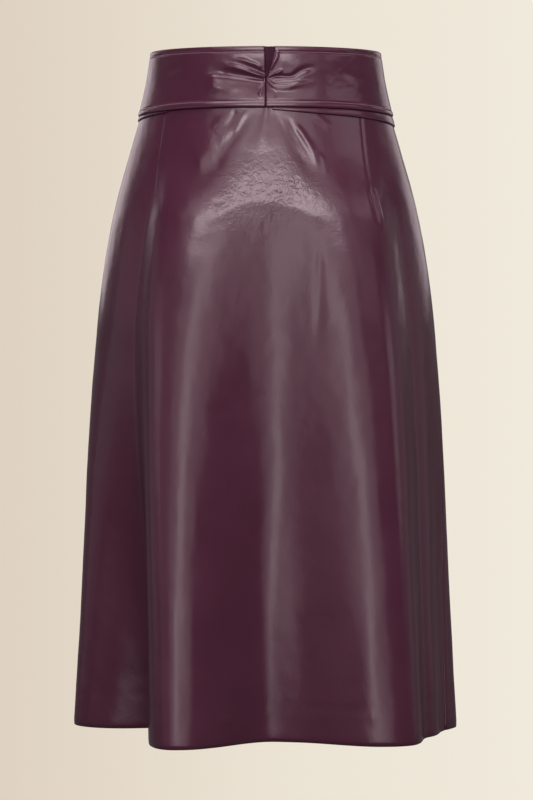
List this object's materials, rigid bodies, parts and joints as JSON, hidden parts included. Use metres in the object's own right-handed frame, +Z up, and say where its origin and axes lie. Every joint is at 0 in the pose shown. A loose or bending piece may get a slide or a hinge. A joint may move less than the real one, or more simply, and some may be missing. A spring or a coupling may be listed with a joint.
{
  "type": "leather skirt",
  "caption": "High-waisted A-line midi skirt in smooth plum coated leather, open at waist and hem, with a wide waistband drawn in at the centre back.",
  "frame": {"origin": "centre of the waist, half-way up the waistband", "axes": "+Z up along the wearer's back, +Y towards the back of the skirt, +X towards the wearer's left"},
  "size_m": [0.4329, 0.3237, 0.7573],
  "materials": {
    "shell_leather": "smooth plum PU-coated leather, semi-gloss",
    "underlap_leather": "the same coated leather in the shade of the slit"
  },
  "bodies": {
    "root": {"back": "shell_leather", "front": "shell_leather", "waistband_back_left": "shell_leather", "waistband_back_right": "shell_leather", "waistband_front": "shell_leather", "strip_back_left": "shell_leather", "strip_back_right": "shell_leather", "strip_front": "shell_leather", "back_underlap": "underlap_leather"}
  },
  "joints": []
}
